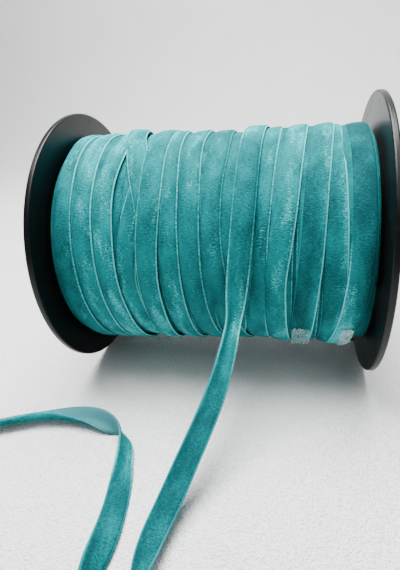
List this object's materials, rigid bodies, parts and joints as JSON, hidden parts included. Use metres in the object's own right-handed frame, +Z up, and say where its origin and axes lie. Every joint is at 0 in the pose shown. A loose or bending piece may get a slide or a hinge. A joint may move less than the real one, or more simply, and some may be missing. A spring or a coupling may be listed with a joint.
{
  "type": "ribbon spool",
  "caption": "Flanged plastic spool wound with narrow velvet ribbon, with a loose end of ribbon lying in front and a bore through the hubs for a rod.",
  "frame": {"origin": "on the floor under the middle of the spool, which lies on the rims of its two flanges; it is the bottom centre of the spool's box, without the loose ribbon", "axes": "+X along the spool's axis towards the right flange, -Y the side that the loose ribbon leaves from, +Z up"},
  "size_m": [0.1935, 0.226, 0.135],
  "materials": {
    "flange_plastic": "satin black moulded plastic",
    "core_card": "spiral-wound grey-brown card",
    "ribbon_velvet": "teal velvet pile with pale mint woven edges and a matt back",
    "clear_tape": "clear adhesive tape"
  },
  "bodies": {
    "loose_ribbon": {"ribbon_tail": "ribbon_velvet"},
    "spool": {"left_flange": "flange_plastic", "right_flange": "flange_plastic", "core_tube": "core_card", "start_tape": "clear_tape", "ribbon_pack": "ribbon_velvet", "left_tape_patch": "clear_tape", "right_tape_patch": "clear_tape"}
  },
  "joints": [
    {"name": "spool_spin", "type": "hinge", "parent": "loose_ribbon", "child": "spool", "pos_m": [0, 0, 0.0675], "axis": [1, 0, 0], "continuous": true}
  ]
}
